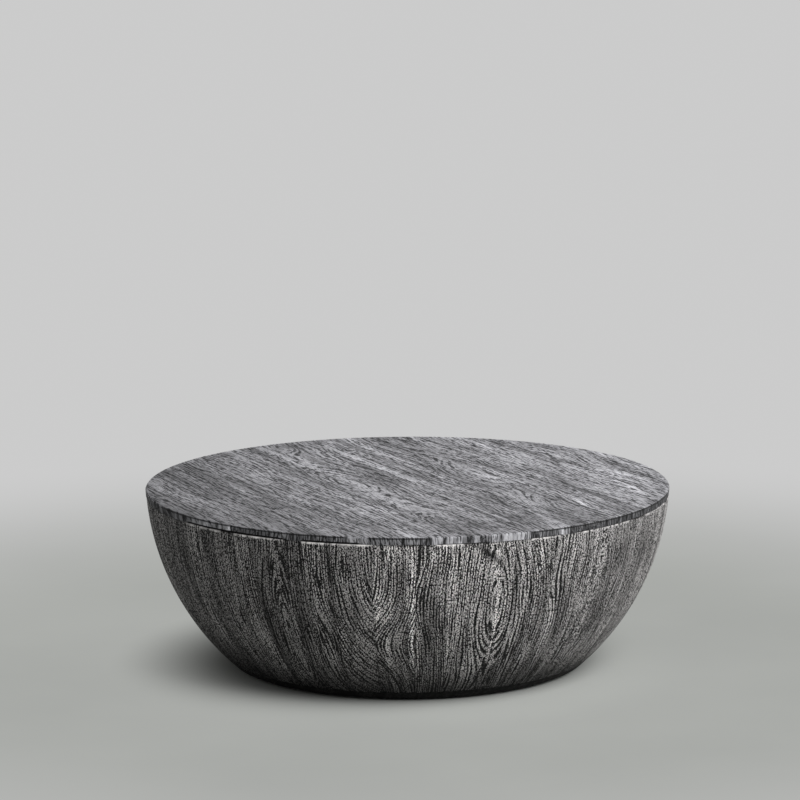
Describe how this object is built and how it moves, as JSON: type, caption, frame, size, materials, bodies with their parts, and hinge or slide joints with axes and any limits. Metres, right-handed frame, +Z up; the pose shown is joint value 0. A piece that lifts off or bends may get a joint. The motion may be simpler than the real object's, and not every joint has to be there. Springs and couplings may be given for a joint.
{
  "type": "drum coffee table",
  "caption": "Low round coffee table shaped like a shallow drum: a planked top and base board close a bowl-curved wall of upright staves in dark, limed wood.",
  "frame": {"origin": "on the floor, on the table's upright axis", "axes": "+Z up, -Y the front, +X to the right seen from the front"},
  "size_m": [0.8888, 0.8887, 0.305],
  "materials": {
    "top_wood": "wire-brushed, stained charcoal grey, limed pale in the grain, matt",
    "wall_wood": "wire-brushed, stained near black, limed pale in the grain, matt",
    "base_wood": "wire-brushed, stained near black, matt",
    "cleat_wood": "sawn, bare",
    "dowel_wood": "turned, bare",
    "screw_steel": "zinc plated",
    "glide_plastic": "moulded, matt"
  },
  "bodies": {
    "root": {"base_cleat_back": "cleat_wood", "base_cleat_front": "cleat_wood", "base_plank_1": "base_wood", "base_plank_2": "base_wood", "base_plank_3": "base_wood", "base_plank_4": "base_wood", "base_plank_5": "base_wood", "cleat_screws": "screw_steel", "floor_glides": "glide_plastic", "stave_01": "wall_wood", "stave_02": "wall_wood", "stave_03": "wall_wood", "stave_04": "wall_wood", "stave_05": "wall_wood", "stave_06": "wall_wood", "stave_07": "wall_wood", "stave_08": "wall_wood", "stave_09": "wall_wood", "stave_10": "wall_wood", "stave_11": "wall_wood", "stave_12": "wall_wood", "stave_13": "wall_wood", "stave_14": "wall_wood", "stave_15": "wall_wood", "stave_16": "wall_wood", "stave_17": "wall_wood", "stave_18": "wall_wood", "stave_19": "wall_wood", "stave_20": "wall_wood", "stave_21": "wall_wood", "stave_22": "wall_wood", "stave_23": "wall_wood", "stave_24": "wall_wood", "stave_25": "wall_wood", "stave_26": "wall_wood", "stave_27": "wall_wood", "stave_28": "wall_wood", "stave_29": "wall_wood", "stave_30": "wall_wood", "stave_31": "wall_wood", "stave_32": "wall_wood", "stave_33": "wall_wood", "stave_34": "wall_wood", "stave_35": "wall_wood", "stave_dowels": "dowel_wood", "top_cleat_back": "cleat_wood", "top_cleat_front": "cleat_wood", "top_plank_01": "top_wood", "top_plank_02": "top_wood", "top_plank_03": "top_wood", "top_plank_04": "top_wood", "top_plank_05": "top_wood", "top_plank_06": "top_wood", "top_plank_07": "top_wood", "top_plank_08": "top_wood", "top_plank_09": "top_wood", "top_plank_10": "top_wood"}
  },
  "joints": []
}
